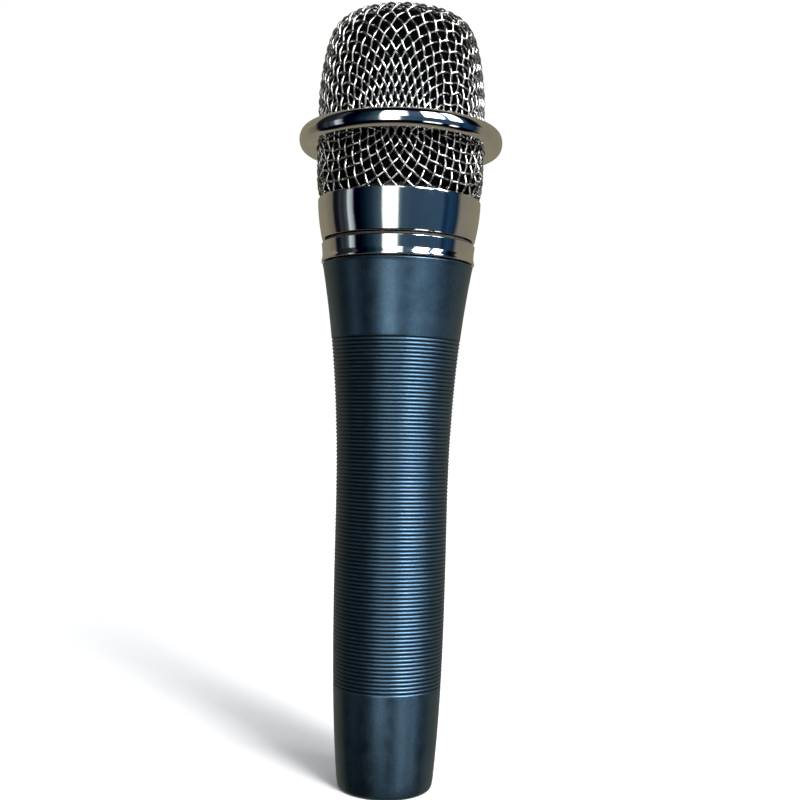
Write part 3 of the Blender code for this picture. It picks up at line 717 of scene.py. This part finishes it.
def make_thread():
    """Spigot with the helical thread that the grille screws down on; one turn lifts it one pitch."""
    crest, root, bore, shank = 16.3, 16.02, 13.2, 14.3
    low, high, foot, pitch, run_in = 122.4, 131.0, 112.5, 1.0, 0.5
    steps, rows = 120, 88
    angles = np.arange(steps) * TURN / steps
    vertices = []
    for z in np.linspace(high, low, rows):
        fade = min(1.0, (high - z) / run_in)
        for a in angles:
            wave = abs(2.0 * ((z / pitch - a / TURN) % 1.0) - 1.0)
            r = root + (crest - root) * wave * fade
            vertices.append((r * math.cos(a), r * math.sin(a), z))
    plain = ((shank, low), (shank, foot), (bore, foot), (bore, high))
    for r, z in plain:
        vertices.extend((r * math.cos(a), r * math.sin(a), z) for a in angles)
    total = rows + len(plain)
    faces = []
    for row in range(total):
        upper, lower = row * steps, (row + 1) % total * steps
        for i in range(steps):
            j = (i + 1) % steps
            faces.append((upper + i, lower + i, lower + j, upper + j))
    add_piece("spigot_with_thread", vertices, faces, "spigot_metal", "handle_body", ("threaded_spigot",),
              sharp=40.0)


def make_shock_rings():
    """The two rubber rings under the capsule, each given a mesh of its own; the real rings squash when the
    capsule moves.
    """
    thickness, edge, steps = 2.9, 0.45, 96
    for name, outer, inner, low in (("upper_shock_ring", 15.0, 12.9, 132.8),
                                    ("lower_shock_ring", 11.4, 7.0, 121.8)):
        high = low + thickness
        corners = [(outer, high, edge), (outer, low, edge), (inner, low, edge), (inner, high, edge)]
        ring = add_piece(name + "_soft", *spun(eased(corners), steps), "rubber", "handle_body", (name,))
        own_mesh(ring)


def make_leads():
    """Insulated wires from pins 2 and 3 to the terminal board, each given a mesh of its own; the real leads
    give when the capsule moves.
    """
    foot, top, bow, pin_circle, thickness = 23.8, 122.9, 2.5, 4.15, 1.16
    t = np.linspace(0.0, 1.0, 90)
    ease = t * t * (3.0 - 2.0 * t)
    swing = bow * np.sin(TURN * t) * np.sin(math.pi * t)
    sideways = np.tile([0.0, 1.0, 0.0], (len(t), 1))
    for name, pin_angle, end, slot in (("lead_hot", 150.0, -2.0, "lead_red"),
                                       ("lead_cold", 270.0, 2.0, "lead_white")):
        a = math.radians(pin_angle)
        x, y = pin_circle * math.cos(a), pin_circle * math.sin(a)
        path = np.stack([x + (end - x) * ease + swing, y * (1.0 - ease), foot + (top - foot) * t], -1)
        vertices, faces = [], []
        tube(path, sideways, vertices, faces, radius=0.5 * thickness, sides=16)
        lead = add_piece(name + "_wire", vertices, faces, slot, "handle_body", (name,), sharp=50.0)
        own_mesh(lead)


make_foam()
make_thread()
make_shock_rings()
make_leads()


# ---------------------------------------------------------------- stage and light

FLOOR_HALF = 6.0             # metres
FLOOR_DROP = 0.02            # keeps the floor clear of the tail rim


def make_floor():
    mesh = bpy.data.meshes.new("floor")
    h = FLOOR_HALF
    mesh.from_pydata([(-h, -h, 0.0), (h, -h, 0.0), (h, h, 0.0), (-h, h, 0.0)], [], [(0, 1, 2, 3)])
    tones = ((0.80, 0.80, 0.80), (0.82, 0.82, 0.82))
    mesh.materials.append(grained("floor_look", tones, (0.8, 0.9), size=40.0, specular=0.0))
    floor = bpy.data.objects.new("floor", mesh)
    floor.location.z = -FLOOR_DROP * MM
    floor.visible_glossy = False
    SCENE.collection.objects.link(floor)


def room_colour(*shade, gain=1.0):
    """Linear colour of a wall that shows as this 8-bit shade in chrome."""
    return tuple(gain * (c / 255.0) ** 2.2 / 0.77 for c in shade)


BEIGE = room_colour(124, 118, 102)
SHADE = room_colour(22, 24, 30)
NAVY = room_colour(3, 7, 22)
TEAL = room_colour(30, 45, 57)
SLATE = room_colour(49, 68, 87)
WINDOW = room_colour(255, 255, 252, gain=2.0)
LAMP = room_colour(248, 252, 255, gain=9.0)
AMBIENT = (0.55, 0.56, 0.58)     # what lights matt surfaces
BACKDROP = (1.02, 1.02, 1.02)    # what the camera sees


def strip(tree, turn, stops):
    """Upright strips of the room as (azimuth in degrees, colour) stops that blend into each other."""
    return ramp(tree, turn, [((azimuth + 180.0) / 360.0, colour) for azimuth, colour in stops])


def make_room():
    """The room as polished metal sees it; the backdrop itself is plain white.

    The strips change with height: each further row fades in between two sines of elevation.
    """
    world = bpy.data.worlds.new("studio")
    world.use_nodes = True
    tree = world.node_tree
    background = tree.nodes["Background"]
    where = tree.nodes.new("ShaderNodeTexCoord")
    split = tree.nodes.new("ShaderNodeSeparateXYZ")
    link(tree, where.outputs["Generated"], split.inputs["Vector"])
    front = math_node(tree, "MULTIPLY", split.outputs["Y"], -1.0)
    azimuth = math_node(tree, "ARCTAN2", split.outputs["X"], front)
    turn = remap(tree, azimuth, 0.0, 1.0, -math.pi, math.pi)

    level = strip(tree, turn, [
        (-180, BEIGE), (-130, BEIGE), (-109, room_colour(100, 94, 84)), (-104, SHADE), (-97, SHADE),
        (-91, room_colour(52, 54, 60)), (-86, room_colour(40, 44, 48)), (-79, room_colour(72, 80, 84)),
        (-76, room_colour(185, 195, 198)), (-70, room_colour(150, 158, 162)), (-66, NAVY), (-58, NAVY),
        (-50, room_colour(13, 25, 36)), (-40, TEAL), (-31, room_colour(55, 71, 84)),
        (-25, room_colour(78, 95, 105)), (-20, WINDOW), (-5, WINDOW), (0, room_colour(100, 118, 128)),
        (4, room_colour(60, 80, 93)), (18, SLATE), (62, room_colour(52, 73, 93)),
        (68, room_colour(20, 44, 68)), (76, room_colour(34, 58, 84)), (89, room_colour(24, 42, 58)),
        (97, room_colour(118, 113, 106)), (130, BEIGE), (180, BEIGE)])
    high = strip(tree, turn, [
        (-180, BEIGE), (-112, BEIGE), (-107, SHADE), (-78, room_colour(40, 44, 50)),
        (-74, room_colour(66, 72, 78)), (-70, room_colour(40, 46, 54)), (-66, NAVY), (-52, NAVY),
        (-38, room_colour(24, 40, 50)), (-25, room_colour(60, 84, 92)), (-22, WINDOW), (4, WINDOW),
        (8, room_colour(62, 88, 108)), (24, room_colour(56, 80, 104)), (28, LAMP), (45, LAMP),
        (49, room_colour(100, 140, 180)), (54, room_colour(110, 145, 180)), (57, LAMP), (66, LAMP),
        (72, room_colour(50, 80, 110)), (82, NAVY), (97, SHADE), (103, BEIGE), (180, BEIGE)])
    low = strip(tree, turn, [
        (-180, BEIGE), (-112, BEIGE), (-106, NAVY), (-24, NAVY), (-12, room_colour(30, 34, 44)), (24, NAVY),
        (27, WINDOW), (44, WINDOW), (47, NAVY), (56, NAVY), (58, WINDOW), (65, WINDOW), (68, NAVY),
        (98, NAVY), (103, BEIGE), (180, BEIGE)])
    plain = strip(tree, turn, [
        (-180, BEIGE), (-112, BEIGE), (-106, NAVY), (93, NAVY), (99, BEIGE), (180, BEIGE)])

    walls = level
    for row, start, end in ((high, 0.19, 0.24), (plain, 0.70, 0.78), (low, -0.27, -0.30),
                            (plain, -0.40, -0.44), (BEIGE, -0.66, -0.86)):
        walls = mixed(tree, remap(tree, split.outputs["Z"], 0.0, 1.0, start, end), walls, row)

    path = tree.nodes.new("ShaderNodeLightPath")
    walls = mixed(tree, path.outputs["Is Diffuse Ray"], walls, AMBIENT)
    link(tree, mixed(tree, path.outputs["Is Camera Ray"], walls, BACKDROP), background.inputs["Color"])
    SCENE.world = world


def make_sun(name, azimuth, elevation, strength, angle, glossy=True):
    """A sun whose disc is angle degrees across; glossy says whether polished metal shows it."""
    data = bpy.data.lights.new(name, "SUN")
    data.energy = strength
    data.angle = math.radians(angle)
    sun = bpy.data.objects.new(name, data)
    a, e = math.radians(azimuth), math.radians(elevation)
    toward = Vector((math.sin(a) * math.cos(e), -math.cos(a) * math.cos(e), math.sin(e)))
    sun.rotation_euler = toward.to_track_quat("Z", "Y").to_euler()
    sun.visible_glossy = glossy
    SCENE.collection.objects.link(sun)


make_floor()
make_room()
make_sun("key_light", azimuth=33.0, elevation=31.0, strength=2.4, angle=16.0)
make_sun("soft_light", azimuth=36.0, elevation=28.0, strength=2.1, angle=38.0, glossy=False)
